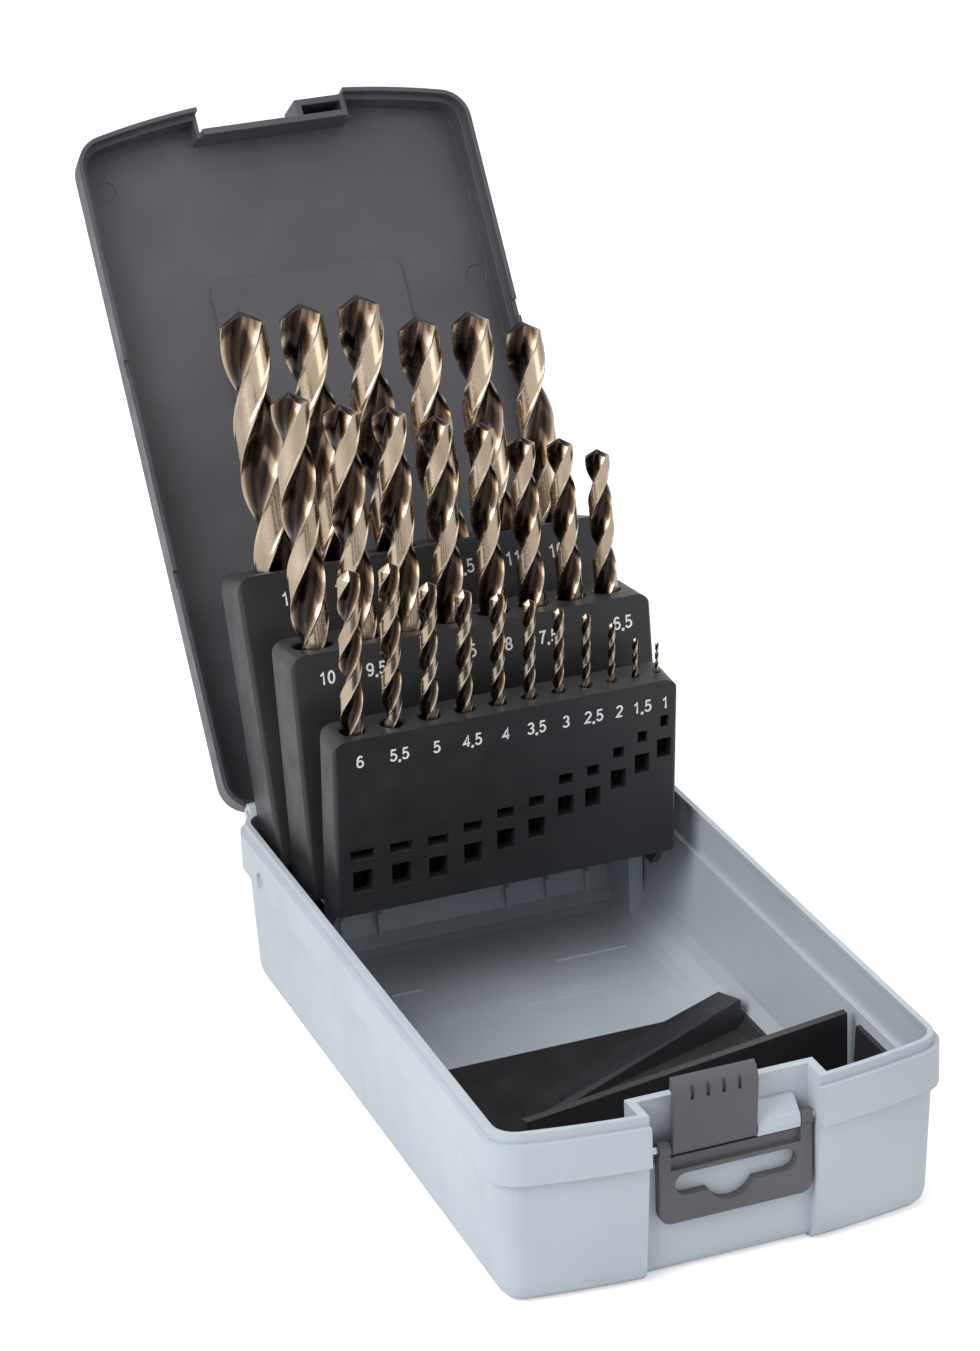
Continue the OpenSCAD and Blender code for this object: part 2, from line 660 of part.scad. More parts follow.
module hanger() {
  r = 3;
  bar_z = -2.8;
  slot_top = -7;
  slot_low = -13;
  inner_x = hanger_x + arm_w;
  inner_w = hanger_w - 2 * arm_w;
  hole_r = 6.5;
  bore_d = latch_pin_d + 2 * run_gap;
  color(dark_color) at_latch_pin() difference() {
    union() {
      translate([0, hanger_t / 2, 0]) rotate([90, 0, 0]) linear_extrude(hanger_t) {
        translate([hanger_x, -hanger_h + r]) square([hanger_w, hanger_h - r]);
        translate([hanger_x + r, -hanger_h]) square([hanger_w - 2 * r, r]);
        for (x = [hanger_x + r, hanger_x + hanger_w - r]) translate([x, -hanger_h + r]) circle(r = r);
      }
      for (x = [hanger_x, inner_x + inner_w])
        translate([x, 0, 0]) rotate([0, 90, 0]) cylinder(r = barrel_r, h = arm_w);
    }
    // Opening between the arms, a recessed upper bar and the hanging slot
    translate([inner_x, -barrel_r - 1, bar_z]) cube([inner_w, 2 * barrel_r + 2, 10]);
    translate([inner_x, -hanger_t, slot_top + 1.2]) cube([inner_w, hanger_t, 10]);
    translate([0, hanger_t, 0]) rotate([90, 0, 0]) linear_extrude(2 * hanger_t) {
      translate([inner_x + 1 + r, slot_low]) square([inner_w - 2 - 2 * r, slot_top - slot_low]);
      for (x = [inner_x + 1 + r, inner_x + inner_w - 1 - r])
        translate([x, (slot_top + slot_low) / 2]) circle(r = r);
      intersection() {
        translate([0.5, slot_low + 2.7]) circle(r = hole_r);
        translate([-10, slot_low - 4]) square([20, 4 + 1]);
      }
    }
    translate([hanger_x - 1, 0, 0]) rotate([0, 90, 0]) cylinder(d = bore_d, h = hanger_w + 2);
  }
}

// Fluted body from z0 to z1 with a pointed end: right-hand spiral, two flutes
module fluted_body(d, z0, z1) {
  r = d / 2;
  section = [1, 1, 0.92, 0.5, 0.34, 0.62, 1, 1, 0.92, 0.5, 0.34, 0.62];
  m = len(section);
  pitch = 5.44 * d;
  tip_h = 0.3 * d;
  turn_steps = 12;
  top = z1 - tip_h;
  n = ceil((top - z0) / pitch * turn_steps);
  // Each ring: height, depth of the flutes and size; the first two dip into the shank's end
  rings = concat([[z0 - 0.4 * r, 0, 0.8], [z0 + 0.1 * r, 0, 1]],
    [for (i = [1 : n]) [z0 + 0.1 * r + (top - z0 - 0.1 * r) * i / n, min(1, i / 2), 1]]);
  ring_pts = [for (q = rings) for (k = [0 : m - 1])
    let (a = 360 * (k / m + (q[0] - z0) / pitch), s = r * q[2] * (1 - (1 - section[k]) * q[1]))
    [s * cos(a), s * sin(a), q[0]]];
  tip_a = 360 * (top - z0) / pitch;
  tip_pts = [for (k = [0 : m - 1]) let (a = 360 * k / m + tip_a, s = 0.12 * r) [s * cos(a), s * sin(a), z1]];
  pts = concat(ring_pts, tip_pts);
  rows = n + 3;
  polyhedron(points = pts, faces = concat(
    [[for (k = [0 : m - 1]) k]],
    [for (j = [0 : rows - 2]) for (k = [0 : m - 1]) [j * m + k, (j + 1) * m + k, (j + 1) * m + (k + 1) % m]],
    [for (j = [0 : rows - 2]) for (k = [0 : m - 1]) [j * m + k, (j + 1) * m + (k + 1) % m, j * m + (k + 1) % m]],
    [[for (k = [m - 1 : -1 : 0]) (rows - 1) * m + k]]));
}

module drill(d) {
  s = size_of(d);
  shank = s[1] - s[2];
  color(steel_color) {
    cylinder(d = d, h = shank);
    fluted_body(d, shank, s[1]);
  }
}

// Drill i of a row, standing in its bore
module placed(i, d, seat, gap, shift, w, v0, lean) {
  at_axis(lean) translate([row_x(d, gap, i) + shift, -w, v0 + seat[i]]) drill(d[i]);
}

module front_drill(i) {
  placed(i, front_d, front_seat, front_gap, 0.5, front_w0 + front_t / 2, front_up, front_lean);
}

module middle_drill(i) {
  placed(i, middle_d, middle_seat, middle_gap, -0.8, middle_w0 + middle_t / 2, middle_up, middle_lean);
}

module rear_drill(i) {
  placed(i, rear_d, rear_seat, rear_gap, rear_shift, rear_w0 + rear_t / 2, -rear_down, rear_lean);
}

tray();
lid();
hinge_pins();
front_holder();
middle_holder();
rear_holder();
pivot_pins();
tip_stop();
latch();
latch_pin();
hanger();
front_drill(0);  // drill_6_0
front_drill(1);  // drill_5_5
front_drill(2);  // drill_5_0
front_drill(3);  // drill_4_5
front_drill(4);  // drill_4_0
front_drill(5);  // drill_3_5
front_drill(6);  // drill_3_0
front_drill(7);  // drill_2_5
front_drill(8);  // drill_2_0
front_drill(9);  // drill_1_5
front_drill(10);  // drill_1_0
middle_drill(0);  // drill_10_0
middle_drill(1);  // drill_9_5
middle_drill(2);  // drill_9_0
middle_drill(3);  // drill_8_5
middle_drill(4);  // drill_8_0
middle_drill(5);  // drill_7_5
middle_drill(6);  // drill_7_0
middle_drill(7);  // drill_6_5
rear_drill(0);  // drill_13_0
rear_drill(1);  // drill_12_5
rear_drill(2);  // drill_12_0
rear_drill(3);  // drill_11_5
rear_drill(4);  // drill_11_0
rear_drill(5);  // drill_10_5
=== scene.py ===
# %% [markdown]
# # A drill bit case in Blender
# The case is a moulded plastic box that stands open. Its hard shells, holders and pins come from
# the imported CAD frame, so they are loaded first and never moved. This lesson dresses them: fine
# ground drills, printed size numbers, plastics and steels, and a soft white studio.

# %% Load the frame
import bpy
import numpy as np
from mathutils import Matrix, Vector


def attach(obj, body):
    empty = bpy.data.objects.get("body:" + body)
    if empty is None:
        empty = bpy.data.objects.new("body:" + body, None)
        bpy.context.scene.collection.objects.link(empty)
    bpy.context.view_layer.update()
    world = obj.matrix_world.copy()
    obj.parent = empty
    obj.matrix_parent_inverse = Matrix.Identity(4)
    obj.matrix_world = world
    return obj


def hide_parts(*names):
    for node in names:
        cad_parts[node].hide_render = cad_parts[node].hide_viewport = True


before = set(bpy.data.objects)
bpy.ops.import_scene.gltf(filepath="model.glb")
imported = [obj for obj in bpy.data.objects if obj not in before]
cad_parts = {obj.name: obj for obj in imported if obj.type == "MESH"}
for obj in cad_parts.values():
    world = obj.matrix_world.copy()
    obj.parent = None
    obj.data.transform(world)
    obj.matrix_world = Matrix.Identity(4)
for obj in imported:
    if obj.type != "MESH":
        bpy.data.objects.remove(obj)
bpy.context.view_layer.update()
print("nodes loaded:", len(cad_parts))

# %% [markdown]
# ## Camera
# The photograph looks down on the case from its front left through a long lens. The camera's
# axes were fitted to the corners of the tray, the lid and the holders, whose real sizes follow
# from the drill sizes, so every piece lands where the photograph shows it.

# %% Camera
MM = 0.001
PHOTO_W, PHOTO_H = 980, 1351
AZIMUTH, ELEVATION, ROLL = np.radians([-19.75, 23.68, -2.66])
PAN_X, PAN_Y, DISTANCE = -31.83, 97.52, 997.49
FOCAL_PX = 3848.7
CENTRE_PX = (-41.0, 29.2)


def camera_axes(az, el, roll):
    """Right, up and back axes.

    Back points from the case to the eye, by azimuth and elevation. Right is level, up is back
    crossed with right, and both then turn about back by the roll.
    """
    back = np.array([np.sin(az) * np.cos(el), -np.cos(az) * np.cos(el), np.sin(el)])
    right = np.array([np.cos(az), np.sin(az), 0.0])
    up = np.cross(back, right)
    turned = np.cos(roll) * right + np.sin(roll) * up
    return turned, -np.sin(roll) * right + np.cos(roll) * up, back


right, up, back = camera_axes(AZIMUTH, ELEVATION, ROLL)
eye = (right * PAN_X + up * PAN_Y + back * DISTANCE) * MM
lens = bpy.data.cameras.new("photo_camera")
lens.sensor_fit = "VERTICAL"
lens.sensor_height = 36.0
lens.lens = FOCAL_PX / PHOTO_H * lens.sensor_height
lens.shift_x = -CENTRE_PX[0] / PHOTO_H
lens.shift_y = CENTRE_PX[1] / PHOTO_H
lens.clip_start = 0.05
lens.clip_end = 20.0
camera = bpy.data.objects.new("photo_camera", lens)
bpy.context.scene.collection.objects.link(camera)
axes = np.column_stack([right, up, back])
camera.matrix_world = Matrix.Translation(Vector(eye)) @ Matrix(axes.tolist()).to_4x4()
bpy.context.scene.camera = camera
print("camera at", np.round(eye, 3))

# %% [markdown]
# ## Moulded plastics
# Injection-moulded polypropylene has a fine eroded grain, slightly uneven gloss where it cooled
# at different speeds, and softly rounded edges. It could be one flat colour, but that looks like
# paint. One recipe makes all four plastics instead: a broad noise shifts the colour a little, a
# finer noise varies the roughness, and a very fine one is the grain. A Bevel node rounds the
# normals at the edges, as the mould's radius does. First come the small helpers that wire nodes.

# %% Material helpers
NOISE_LOW, NOISE_HIGH = 0.3, 0.7
BEVEL_SAMPLES = 4


def new_material(name):
    """An empty node material with an output, a Principled shader and Object coordinates."""
    mat = bpy.data.materials.new(name)
    mat.use_nodes = True
    nodes, links = mat.node_tree.nodes, mat.node_tree.links
    nodes.clear()
    out = nodes.new("ShaderNodeOutputMaterial")
    shader = nodes.new("ShaderNodeBsdfPrincipled")
    coord = nodes.new("ShaderNodeTexCoord")
    links.new(shader.outputs["BSDF"], out.inputs["Surface"])
    return mat, nodes, links, shader, coord.outputs["Object"]


def noise(nodes, links, vector, scale, detail=3.0, rough=0.5):
    """A noise texture's factor at the given scale per metre."""
    tex = nodes.new("ShaderNodeTexNoise")
    tex.inputs["Scale"].default_value = scale
    tex.inputs["Detail"].default_value = detail
    tex.inputs["Roughness"].default_value = rough
    links.new(vector, tex.inputs["Vector"])
    return tex.outputs["Fac"]


def ramp(nodes, links, factor, stops):
    """A colour ramp through (position, linear RGB) stops."""
    node = nodes.new("ShaderNodeValToRGB")
    elements = node.color_ramp.elements
    while len(elements) < len(stops):
        elements.new(0.5)
    for element, (place, colour) in zip(elements, stops):
        element.position = place
        element.color = (*colour, 1.0)
    links.new(factor, node.inputs["Fac"])
    return node.outputs["Color"]


def remap(nodes, links, factor, low, high):
    """A noise factor stretched from the range it mostly keeps to, to low..high."""
    node = nodes.new("ShaderNodeMapRange")
    node.inputs["From Min"].default_value = NOISE_LOW
    node.inputs["From Max"].default_value = NOISE_HIGH
    node.inputs["To Min"].default_value = low
    node.inputs["To Max"].default_value = high
    links.new(factor, node.inputs["Value"])
    return node.outputs["Result"]


def rounded_bump(nodes, links, shader, height, strength, distance, radius):
    """Bump from height, on top of normals rounded at the edges over the radius."""
    edge = nodes.new("ShaderNodeBevel")
    edge.samples = BEVEL_SAMPLES
    edge.inputs["Radius"].default_value = radius
    bump = nodes.new("ShaderNodeBump")
    bump.inputs["Strength"].default_value = strength
    bump.inputs["Distance"].default_value = distance
    links.new(height, bump.inputs["Height"])
    links.new(edge.outputs["Normal"], bump.inputs["Normal"])
    links.new(bump.outputs["Normal"], shader.inputs["Normal"])


# %% Plastic
BLOTCH_SCALE, SHEEN_SCALE, GRAIN_SCALE = 28.0, 140.0, 2600.0
GRAIN_STRENGTH, GRAIN_HEIGHT = 0.22, 0.00012
MOULD_RADIUS = 0.0003


def plastic(name, dark, light, gloss):
    """Moulded plastic between two close colours, with gloss as its lowest and highest roughness."""
    mat, nodes, links, shader, place = new_material(name)
    blotch = ramp(nodes, links, noise(nodes, links, place, BLOTCH_SCALE, 2.0),
                  [(NOISE_LOW, dark), (NOISE_HIGH, light)])
    links.new(blotch, shader.inputs["Base Color"])
    uneven = noise(nodes, links, place, SHEEN_SCALE)
    links.new(remap(nodes, links, uneven, *gloss), shader.inputs["Roughness"])
    grain = noise(nodes, links, place, GRAIN_SCALE, 2.0, 0.6)
    rounded_bump(nodes, links, shader, grain, GRAIN_STRENGTH, GRAIN_HEIGHT, MOULD_RADIUS)
    shader.inputs["Specular IOR Level"].default_value = 0.42
    return mat


tray_plastic = plastic("tray_grey_plastic", (0.43, 0.475, 0.515), (0.485, 0.53, 0.57), (0.36, 0.5))
dark_plastic = plastic("dark_grey_plastic", (0.078, 0.078, 0.085), (0.098, 0.097, 0.105), (0.38, 0.52))
lid_plastic = plastic("lid_grey_plastic", (0.052, 0.052, 0.060), (0.075, 0.074, 0.083), (0.30, 0.46))
black_plastic = plastic("black_plastic", (0.0185, 0.0185, 0.021), (0.0255, 0.025, 0.028), (0.34, 0.48))
print("plastics:", tray_plastic.name, dark_plastic.name, lid_plastic.name, black_plastic.name)

# %% [markdown]
# ## Pins and their steel
# The hinge pins are drawn wire, scored along its length by the die, and the two short pins in
# the side walls are blackened. Scores could be modelled, but they are far finer than a pixel. A
# noise stretched twenty times along the pins' axis draws them, in the roughness and the bump.

# %% Pin steel
DRIFT_SCALE, SCORE_SCALE = 60.0, 900.0
ALONG_PIN = (0.05, 1.0, 1.0)
SCORE_STRENGTH, SCORE_HEIGHT = 0.12, 0.00008
METAL_RADIUS = 0.0001


def steel(name, dark, light, gloss):
    """Drawn steel: metal whose tint wanders between two greys, scored by stretched noise."""
    mat, nodes, links, shader, place = new_material(name)
    shader.inputs["Metallic"].default_value = 1.0
    drift = ramp(nodes, links, noise(nodes, links, place, DRIFT_SCALE, 3.0),
                 [(NOISE_LOW, dark), (NOISE_HIGH, light)])
    links.new(drift, shader.inputs["Base Color"])
    mapping = nodes.new("ShaderNodeMapping")
    mapping.inputs["Scale"].default_value = ALONG_PIN
    links.new(place, mapping.inputs["Vector"])
    scored = noise(nodes, links, mapping.outputs["Vector"], SCORE_SCALE, 4.0, 0.65)
    links.new(remap(nodes, links, scored, *gloss), shader.inputs["Roughness"])
    rounded_bump(nodes, links, shader, scored, SCORE_STRENGTH, SCORE_HEIGHT, METAL_RADIUS)
    return mat


pin_steel = steel("drawn_pin_steel", (0.46, 0.46, 0.48), (0.62, 0.62, 0.63), (0.24, 0.4))
blackened_steel = steel("blackened_pin_steel", (0.05, 0.05, 0.052), (0.08, 0.08, 0.082), (0.34, 0.5))
print("steels:", pin_steel.name, blackened_steel.name)

# %% [markdown]
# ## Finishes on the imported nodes
# Tray, lid, holders, latch and pins keep the shape that they have in the CAD model, so a finish
# is all they need. Each node's material slots are handed the finish of the real piece. The
# drills get new surfaces further down, so they are left out here.

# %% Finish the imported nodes
NODE_FINISH = {
    "tray": tray_plastic, "lid": lid_plastic, "latch": dark_plastic, "hanger": dark_plastic,
    "front_holder": black_plastic, "middle_holder": black_plastic, "rear_holder": black_plastic,
    "tip_stop": black_plastic, "hinge_pins": pin_steel, "pivot_pins": blackened_steel,
    "latch_pin": pin_steel,
}
for node, finish in NODE_FINISH.items():
    for material_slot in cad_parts[node].material_slots:
        material_slot.material = finish
print("finished nodes:", len(NODE_FINISH))

# %% [markdown]
# ## Tempered drill steel with painted shade
# Drills of this kind have a bronze tint from tempering, and the lands stay bright. The darkening
# into the flutes is painted shade: a pattern in space can't know where a flute runs, so the mesh
# carries an attribute, 0 on a land and 1 deep in a flute, and a colour ramp reads it. A cloudy
# noise then keeps two drills from looking alike.

# %% Drill steel
# Temper tint at the lands, then painted shade: the colour darkens with the flute's depth
TEMPER_AND_SHADE = [
    (0.0, (0.60, 0.51, 0.41)), (0.08, (0.50, 0.39, 0.28)), (0.2, (0.13, 0.088, 0.06)),
    (0.42, (0.016, 0.012, 0.011)), (0.62, (0.05, 0.036, 0.028)), (0.8, (0.24, 0.18, 0.135)),
]
CLOUD = [(NOISE_LOW, (0.78, 0.74, 0.68)), (NOISE_HIGH, (1.0, 1.0, 1.0))]
CLOUD_SCALE, GRIND_SCALE = 90.0, 1500.0
DRILL_GLOSS = (0.17, 0.30)
GRIND_HEIGHT = 0.00005


def drill_metal(name):
    """Drill steel: the temper ramp with its painted shade, read at the mesh attribute, times a faint
    cloud.
    """
    mat, nodes, links, shader, place = new_material(name)
    shader.inputs["Metallic"].default_value = 1.0
    painted_shade = nodes.new("ShaderNodeAttribute")
    painted_shade.attribute_name = "painted_shade"
    tint_and_shade = ramp(nodes, links, painted_shade.outputs["Fac"], TEMPER_AND_SHADE)
    cloud = ramp(nodes, links, noise(nodes, links, place, CLOUD_SCALE, 3.0), CLOUD)
    both = nodes.new("ShaderNodeMix")
    both.data_type = "RGBA"
    both.blend_type = "MULTIPLY"
    both.inputs["Factor"].default_value = 1.0
    links.new(tint_and_shade, both.inputs["A"])
    links.new(cloud, both.inputs["B"])
    links.new(both.outputs["Result"], shader.inputs["Base Color"])
    scored = noise(nodes, links, place, GRIND_SCALE, 4.0, 0.65)
    links.new(remap(nodes, links, scored, *DRILL_GLOSS), shader.inputs["Roughness"])
    rounded_bump(nodes, links, shader, scored, SCORE_STRENGTH, GRIND_HEIGHT, METAL_RADIUS)
    return mat


drill_steel = drill_metal("ground_drill_steel")
print("temper stops:", len(TEMPER_AND_SHADE))

# %% [markdown]
# ## Rows of drills
# Three holders turn on one axis near the back. Seen upright, a row has a place in front of the
# axis and a foot height above it, and the whole row then leans. The same few numbers as in the
# CAD source place the drills and the printed numbers, so nothing has to be fitted by eye.

# %% Row geometry
AXIS_Y, AXIS_Z = 73.5, 36.7


class Row:
    """One holder: its drills from left to right, and where they stand, in mm and degrees.

    Neighbouring drills lie half of each diameter and the gap apart, and the run of them is
    centred between its outer edges, then moved sideways by the shift.
    """

    def __init__(self, name, body, sizes, seats, gap, shift, front, thickness, foot, height, lean):
        self.name, self.body, self.sizes, self.seats = name, body, np.array(sizes), np.array(seats)
        self.front, self.thickness, self.foot, self.height = front, thickness, foot, height
        self.lean = np.radians(lean)
        steps = (self.sizes[:-1] + self.sizes[1:]) / 2 + gap
        run = np.concatenate([[0.0], np.cumsum(steps)])
        self.x = run - (run[-1] + (self.sizes[-1] - self.sizes[0]) / 2) / 2 + shift

    def to_world(self, pts):
        """World metres of upright (x, forward, up) in mm: forward and up turned about the axis."""
        x, w, v = pts[..., 0], pts[..., 1], pts[..., 2]
        y = AXIS_Y - w * np.cos(self.lean) + v * np.sin(self.lean)
        z = AXIS_Z + w * np.sin(self.lean) + v * np.cos(self.lean)
        return np.stack([x, y, z], axis=-1) * MM


rows = [
    Row("front", "front_row",
        sizes=[6, 5.5, 5, 4.5, 4, 3.5, 3, 2.5, 2, 1.5, 1],
        seats=[4.5, 4.5, 4.2, 6.2, 8.4, 10, 14.9, 15.8, 19.7, 23, 26.5],
        gap=4.98, shift=0.5, front=32.7, thickness=11.1, foot=5.1, height=52, lean=-5),
    Row("middle", "middle_row",
        sizes=[10, 9.5, 9, 8.5, 8, 7.5, 7, 6.5],
        seats=[1.5, 4.2, 1.6, 5.1, 1.6, 3.8, 1.5, 4.8],
        gap=3.6, shift=-0.8, front=21.1, thickness=17.3, foot=0.4, height=67, lean=6),
    Row("rear", "rear_row",
        sizes=[13, 12.5, 12, 11.5, 11, 10.5],
        seats=[2.4, 2, 2, 2.7, 2, 6],
        gap=3.9, shift=0.4, front=3.3, thickness=19.0, foot=-2.3, height=84, lean=17.5),
]
# Whole length and flute length of each diameter in the jobber series
JOBBER = {
    1: (34, 12), 1.5: (40, 18), 2: (49, 24), 2.5: (57, 30), 3: (61, 33), 3.5: (70, 39), 4: (75, 43),
    4.5: (80, 47), 5: (86, 52), 5.5: (93, 57), 6: (93, 57), 6.5: (101, 63), 7: (109, 69),
    7.5: (109, 69), 8: (117, 75), 8.5: (117, 75), 9: (125, 81), 9.5: (125, 81), 10: (133, 87),
    10.5: (133, 87), 11: (142, 94), 11.5: (142, 94), 12: (151, 101), 12.5: (151, 101), 13: (151, 101),
}
for row in rows:
    print(row.name, "row spans x", np.round(row.x[[0, -1]], 1))

# %% [markdown]
# ## Twist drills
# A twist drill is a round bar with two spiral flutes. In a frame that turns with the spiral its
# section never changes, so the surface is one section carried up a path: the radius depends on
# the angle, and the angle grows with height. A Screw modifier could turn the section too, but it
# can't let the flutes fade out into the shank, or shrink the section onto a cone at the tip,
# which gives the two cutting lips by itself. So the rings are worked out here.

# %% Drill surface
LAND_SHARE = 0.36
LAND_RADIUS = 0.955
MARGIN_BEFORE, MARGIN_AFTER = 0.04, 0.985
FLUTE_DEPTH, FLUTE_FULLNESS = 0.66, 0.75
FLUTE_HEEL, FLUTE_LEAN = 1.08, 0.35
TIP_HALF_ANGLE = np.radians(59)
PITCH_PER_D = 5.44
FADE_PER_D = 1.1
FOOT_BEVEL_PER_D = 0.09
TIP_RINGS = np.array([0.34, 0.67, 0.93])
COLUMNS, RINGS_PER_TURN = 72, 44
# Painted shade where shank, tip and tip point read the temper ramp: it darkens the shanks in the
# holders and the tips of the larger drills
SHANK_SHADE, POINT_SHADE = 0.36, 0.25
LARGE_TIP_SHADE, BRIGHT_TIP, LARGEST_BRIGHT_TIP = 0.42, 0.02, 6


def land_profile(phi):
    """Radius factor round the section, the same in each half turn: a flute, then a land.

    The flute's depth is a sine to a power, times a line that makes its first side the steeper.
    The land lies just below the full radius, and the narrow margin beside the flute reaches it.
    """
    part = np.mod(phi, np.pi) / np.pi
    flute = np.clip(part / (1 - LAND_SHARE), 0, 1)
    depth = FLUTE_DEPTH * np.sin(np.pi * flute) ** FLUTE_FULLNESS * (FLUTE_HEEL - FLUTE_LEAN * flute)
    on_land = part > 1 - LAND_SHARE
    margin = (part < MARGIN_BEFORE) | (part > MARGIN_AFTER)
    return np.where(margin, 1.0, np.where(on_land, LAND_RADIUS, 1 - depth))


def drill_grid(d, length, flute):
    """Rings from shank end to tip: z, radius, angle and painted shade (the flute's depth on the body)
    at each (ring, column).

    The radius blends from the round shank to the profile over the fade, and shrinks in even
    proportion on the tip's cone. The angle is the column's, plus a full turn for each pitch of
    height above the flutes' start.
    """
    phi = np.linspace(0, 2 * np.pi, COLUMNS, endpoint=False)
    edge = land_profile(phi) * d / 2
    start = length - flute
    pitch = PITCH_PER_D * d
    z_end = length - edge / np.tan(TIP_HALF_ANGLE)
    count = int(np.ceil(flute / pitch * RINGS_PER_TURN))
    share = np.linspace(0, 1, count)[:, None]
    z_body = start + (z_end[None, :] - start) * share
    fade = np.clip((z_body - start) / (FADE_PER_D * d), 0, 1)
    fade = fade * fade * (3 - 2 * fade)
    r_body = d / 2 * (1 - fade) + edge[None, :] * fade
    bevel = FOOT_BEVEL_PER_D * d
    z_shank = np.array([0.0, 0.0, bevel * 0.4, bevel, start * 0.5, start - 0.02 * d])
    r_shank = d / 2 - np.array([bevel * 2.2, bevel, bevel * 0.35, 0, 0, 0])
    z_low = np.repeat(z_shank[:, None], COLUMNS, 1)
    r_low = np.repeat(r_shank[:, None], COLUMNS, 1)
    r_tip = edge[None, :] * (1 - TIP_RINGS)[:, None]
    z_tip = length - r_tip / np.tan(TIP_HALF_ANGLE)
    z = np.vstack([z_low, z_body, z_tip])
    r = np.vstack([r_low, r_body, r_tip])
    turn = 2 * np.pi * np.clip(np.minimum(z, z_end[None, :]) - start, 0, None) / pitch
    # The flute's depth becomes painted shade, which darkens the colour into the flutes
    painted_shade = (1 - edge * 2 / d)[None, :] * np.vstack([0 * z_low, fade, np.ones_like(z_tip)])
    tip = slice(-len(TIP_RINGS), None)
    # Painted shade on the tips, dark on the drills larger than 6 mm
    painted_shade[tip] = np.maximum(painted_shade[tip], LARGE_TIP_SHADE if d > LARGEST_BRIGHT_TIP else BRIGHT_TIP)
    # Painted shade on the shanks, which sit in the holders' bores
    painted_shade[:len(z_shank)] = SHANK_SHADE
    return z, r, phi[None, :] + turn, painted_shade


# %% Mesh helpers
def mesh_piece(name, points, faces):
    """A new object at the origin from arrays of points in metres and a list of faces."""
    mesh = bpy.data.meshes.new(name)
    mesh.from_pydata(points.tolist(), [], faces)
    mesh.update()
    piece = bpy.data.objects.new(name, mesh)
    bpy.context.scene.collection.objects.link(piece)
    return piece


def closed_tube(name, ring_points, first_pole, last_pole):
    """A tube from rings of points (rows, columns, 3), closed by a point at each end.

    Each quad joins two neighbouring columns of two neighbouring rings, and a fan of triangles
    joins the first and the last ring to their poles.
    """
    n_rows, n_cols = ring_points.shape[:2]
    verts = np.vstack([ring_points.reshape(-1, 3), first_pole, last_pole])
    i = np.arange(n_rows - 1)[:, None] * n_cols
    j = np.arange(n_cols)[None, :]
    k = (j + 1) % n_cols
    quads = np.stack([i + j, i + k, i + n_cols + k, i + n_cols + j], axis=-1).reshape(-1, 4)
    low = len(verts) - 2
    top = (n_rows - 1) * n_cols
    start_fan = np.stack([np.full(n_cols, low), k[0], j[0]], axis=-1)
    end_fan = np.stack([np.full(n_cols, low + 1), top + j[0], top + k[0]], axis=-1)
    return mesh_piece(name, verts, quads.tolist() + start_fan.tolist() + end_fan.tolist())


def smooth_by_angle(piece, degrees):
    """Smooth shading, with edges sharper than the angle kept crisp."""
    mesh = piece.data
    mesh.shade_smooth()
    mesh.set_sharp_from_angle(angle=np.radians(degrees))


# %% [markdown]
# ## Drills in their bores
# Every drill stands in the middle of its holder, at its own seat height, and leans with the row.
# In use the drills stand any way round, but in a product shot the tips of a row face alike. So
# each row has one facing angle, which is read at the tip, because the flutes turn below it.

# %% Make the drills
FACING = {"rear": 3.4, "middle": 3.0, "front": 1.2}
SHARP_DEGREES = 34


def drill_name(d):
    """Node name of a drill, as in the CAD source: whole millimetres, then 5 or 0 tenths."""
    return f"drill_{int(d)}_{5 if d % 1 else 0}"


def ground_drill(row, d, seat, x):
    """One drill as a closed tube: its grid wrapped round an upright line, then leant with its row."""
    z, r, angle, painted_shade = drill_grid(d, *JOBBER[d])
    angle = angle - angle[-1, 0] + FACING[row.name]
    middle = row.front - row.thickness / 2
    foot = row.foot + seat
    local = np.stack([x + r * np.cos(angle), middle - r * np.sin(angle), foot + z], axis=-1)
    ends = row.to_world(np.array([[x, middle, foot], [x, middle, foot + JOBBER[d][0]]]))
    piece = closed_tube(drill_name(d) + "_ground", row.to_world(local), ends[:1], ends[1:])
    smooth_by_angle(piece, SHARP_DEGREES)
    # Each point's painted shade, then the shank's and the tip point's poles
    shade_values = np.append(painted_shade.ravel(), [SHANK_SHADE, POINT_SHADE])
    attribute = piece.data.attributes.new("painted_shade", "FLOAT", "POINT")
    attribute.data.foreach_set("value", shade_values.astype(np.float32))
    piece.data.materials.append(drill_steel)
    return piece


drills = []
for row in rows:
    for d, seat, x in zip(row.sizes, row.seats, row.x):
        piece = ground_drill(row, d, seat, x)
        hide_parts(drill_name(d))
        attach(piece, row.body)
        drills.append(piece)
print("drills made:", len(drills))

# %% [markdown]
# ## Printed numbers
# Each bore has its drill's size printed below it in white, with a decimal comma. A text object
# could write them, but the built-in font has other forms than these narrow printed figures. So
# they are drawn as strokes: a line down the middle of each stroke, widened to a ribbon and given
# the 0.06 mm of printing ink. They lie flat on the holder's front.

# %% Printing ink
def printing_ink(name):
    """White ink that covers a little unevenly: two close whites mixed by fine noise."""
    mat, nodes, links, shader, place = new_material(name)
    patchy = noise(nodes, links, place, 1800.0)
    whites = ramp(nodes, links, patchy, [(0.2, (0.72, 0.72, 0.72)), (0.6, (0.86, 0.86, 0.86))])
    links.new(whites, shader.inputs["Base Color"])
    shader.inputs["Roughness"].default_value = 0.6
    return mat


number_ink = printing_ink("printed_white_ink")
print("ink:", number_ink.name)

# %% Figures as strokes
# Stroke width, and the step to the next figure, on a field 1 high; a comma is wider and steps less
STROKE, ADVANCE = 0.15, 0.66
COMMA_WIDER, COMMA_ADVANCE = 1.3, 0.30


